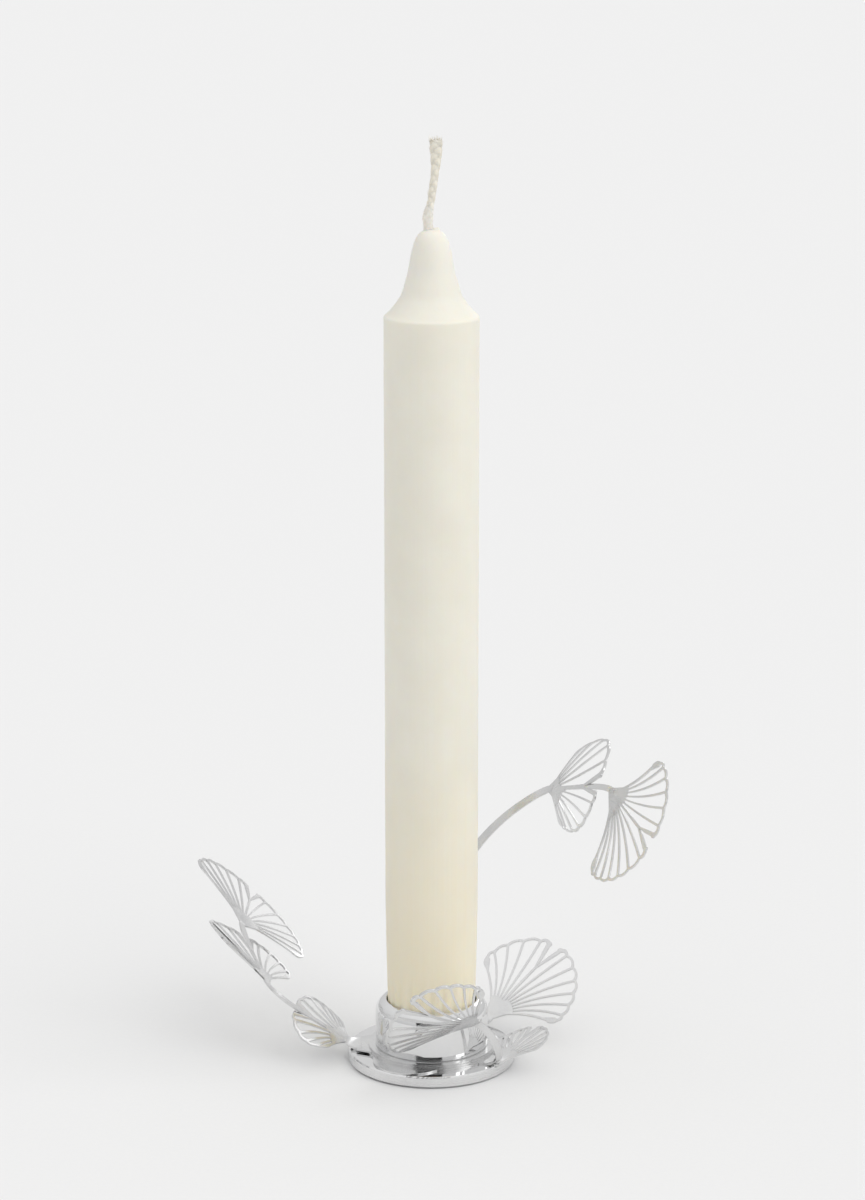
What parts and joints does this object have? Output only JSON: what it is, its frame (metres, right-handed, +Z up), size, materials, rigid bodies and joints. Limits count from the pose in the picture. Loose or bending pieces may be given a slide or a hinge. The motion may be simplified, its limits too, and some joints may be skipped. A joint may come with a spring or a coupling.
{
  "type": "candlestick",
  "caption": "Low candlestick: polished base disc, straight-walled candle cup and etched ginkgo-leaf sprays fanning out, holding one fluted-foot crown candle.",
  "frame": {"origin": "centre of the underside, where the felt pad meets the table, on the axis of the disc, cup and candle", "axes": "+Z up along the candle; -Y towards the side that carries the leaf lying across the cup; +X towards the leaves at the side of the back spray"},
  "size_m": [0.1121, 0.0788, 0.222],
  "materials": {
    "polished_base": "mirror polished",
    "polished_cup": "mirror polished",
    "leaf_silver": "polished plate",
    "screw_steel": "plain",
    "felt": "short felt",
    "wax": "satin cream wax",
    "wick": "braided cotton"
  },
  "bodies": {
    "holder": {"base_disc": "polished_base", "foot_pad": "felt", "clamp_screw": "screw_steel", "front_leaf_spray": "leaf_silver", "left_leaf_spray": "leaf_silver", "back_leaf_spray": "leaf_silver", "candle_cup": "polished_cup"},
    "candle": {"candle_wax": "wax", "candle_wick": "wick"}
  },
  "joints": [
    {"name": "candle_lift", "type": "slide", "parent": "holder", "child": "candle", "axis": [0, 0, 1], "range_m": [0, 0.12]}
  ]
}
